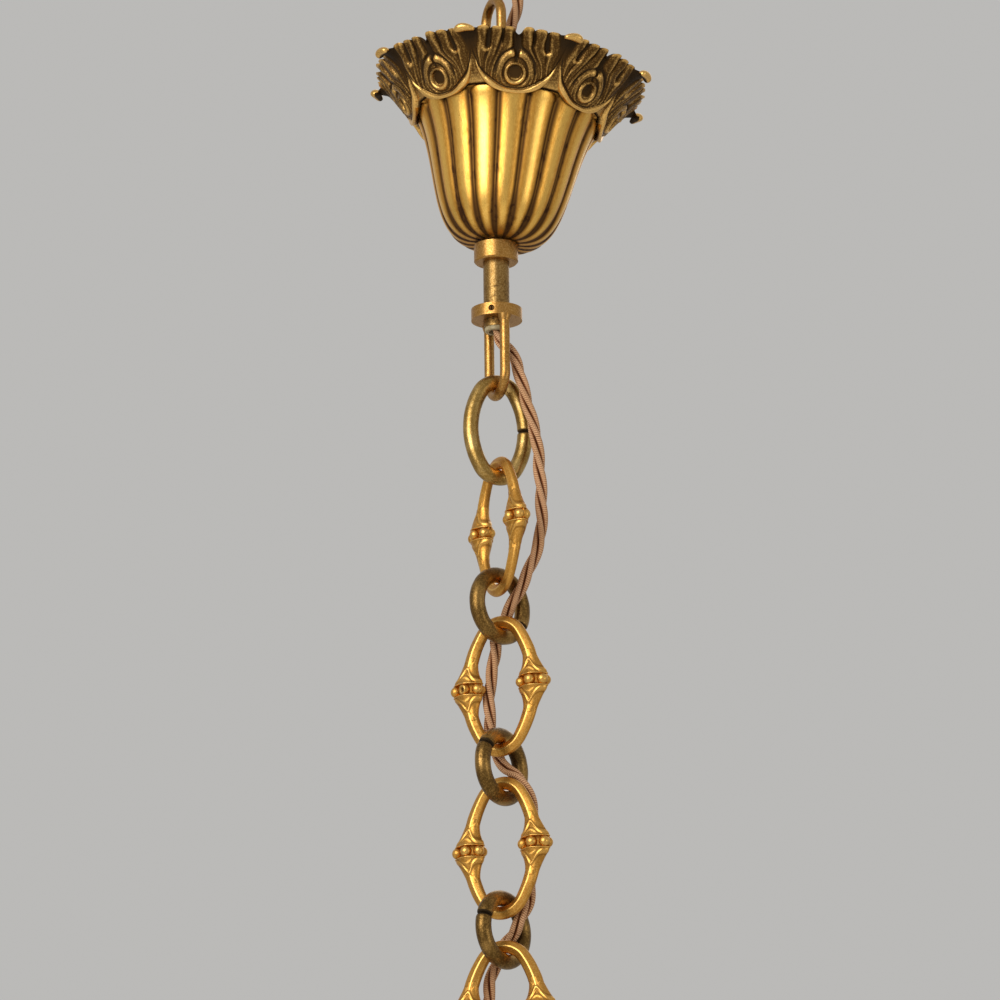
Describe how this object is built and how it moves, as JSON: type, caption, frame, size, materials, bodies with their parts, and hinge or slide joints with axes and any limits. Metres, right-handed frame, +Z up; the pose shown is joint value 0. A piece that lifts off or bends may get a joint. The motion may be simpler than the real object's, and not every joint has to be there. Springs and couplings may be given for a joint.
{
  "type": "chandelier chain suspension with ceiling canopy",
  "caption": "Fluted brass ceiling canopy with a leaf crown on a hollow stem, and a chain of rings and beaded links with a twisted braided flex.",
  "frame": {"origin": "inside top of the top loop's eye, where the ceiling hook carries it", "axes": "+Z up along the stem, +X to the right and +Y to the back as pictured"},
  "size_m": [0.1082, 0.1082, 0.4685],
  "materials": {
    "bell_brass": "polished cast brass, warm gold",
    "crown_brass": "cast brass with brown patina in the hollows",
    "stem_brass": "tarnished brass tube",
    "loop_brass": "turned brass, lightly tarnished",
    "ring_bronze": "dark tarnished brass wire",
    "link_brass": "cast brass with brown patina in the hollows",
    "screw_steel": "dark plated steel",
    "bush_fibre": "pale insulating fibre",
    "connector_plastic": "off-white connector plastic",
    "braided_flex": "braided cotton over two twisted cores, dusty pink-brown"
  },
  "bodies": {
    "stem": {"stem_tube": "stem_brass", "top_loop": "loop_brass", "top_lock_screw": "screw_steel", "lower_loop": "loop_brass", "lower_lock_screw": "screw_steel", "top_bush": "bush_fibre", "lower_bush": "bush_fibre", "flex_stem": "braided_flex", "top_connector": "connector_plastic", "flex_1": "braided_flex"},
    "collar": {"canopy_collar": "loop_brass", "collar_screw": "screw_steel"},
    "canopy": {"canopy_bell": "bell_brass", "canopy_crown": "crown_brass"},
    "ring_1": {"ring_1": "ring_bronze", "flex_2": "braided_flex"},
    "link_1": {"link_1": "link_brass", "flex_3": "braided_flex"},
    "ring_2": {"ring_2": "ring_bronze", "flex_4": "braided_flex"},
    "link_2": {"link_2": "link_brass", "flex_5": "braided_flex"},
    "ring_3": {"ring_3": "ring_bronze", "flex_6": "braided_flex"},
    "link_3": {"link_3": "link_brass", "flex_7": "braided_flex"},
    "ring_4": {"ring_4": "ring_bronze", "flex_8": "braided_flex"},
    "link_4": {"link_4": "link_brass", "lower_connector": "connector_plastic"},
    "ring_5": {"ring_5": "ring_bronze"}
  },
  "joints": [
    {"name": "collar_slide", "type": "slide", "parent": "stem", "child": "collar", "axis": [0, 0, 1], "range_m": [-0.0185, 0]},
    {"name": "canopy_turn", "type": "hinge", "parent": "collar", "child": "canopy", "pos_m": [0, 0, -0.0985], "axis": [0, 0, 1], "continuous": true},
    {"name": "ring_1_swing", "type": "hinge", "parent": "stem", "child": "ring_1", "pos_m": [0, 0, -0.15895], "axis": [0.3746, -0.9272, 0], "range_deg": [-30, 30], "deforming": ["flex_1"]},
    {"name": "link_1_swing", "type": "hinge", "parent": "ring_1", "child": "link_1", "pos_m": [0, 0, -0.19195], "axis": [0.9397, 0.342, 0], "range_deg": [-30, 30], "deforming": ["flex_2"]},
    {"name": "ring_2_swing", "type": "hinge", "parent": "link_1", "child": "ring_2", "pos_m": [0, 0, -0.2364], "axis": [0.4695, -0.8829, 0], "range_deg": [-30, 30], "deforming": ["flex_3"]},
    {"name": "link_2_swing", "type": "hinge", "parent": "ring_2", "child": "link_2", "pos_m": [0, 0, -0.25485], "axis": [0.7071, 0.7071, 0], "range_deg": [-30, 30], "deforming": ["flex_4"]},
    {"name": "ring_3_swing", "type": "hinge", "parent": "link_2", "child": "ring_3", "pos_m": [0, 0, -0.2993], "axis": [0.866, -0.5, 0], "range_deg": [-30, 30], "deforming": ["flex_5"]},
    {"name": "link_3_swing", "type": "hinge", "parent": "ring_3", "child": "link_3", "pos_m": [0, 0, -0.31775], "axis": [0.5878, 0.809, 0], "range_deg": [-30, 30], "deforming": ["flex_6"]},
    {"name": "ring_4_swing", "type": "hinge", "parent": "link_3", "child": "ring_4", "pos_m": [0, 0, -0.3622], "axis": [0.866, -0.5, 0], "range_deg": [-30, 30], "deforming": ["flex_7"]},
    {"name": "link_4_swing", "type": "hinge", "parent": "ring_4", "child": "link_4", "pos_m": [0, 0, -0.38065], "axis": [0.6157, 0.788, 0], "range_deg": [-30, 30], "deforming": ["flex_8"]},
    {"name": "ring_5_swing", "type": "hinge", "parent": "link_4", "child": "ring_5", "pos_m": [0, 0, -0.4251], "axis": [0.9511, -0.309, 0], "range_deg": [-30, 30]}
  ]
}
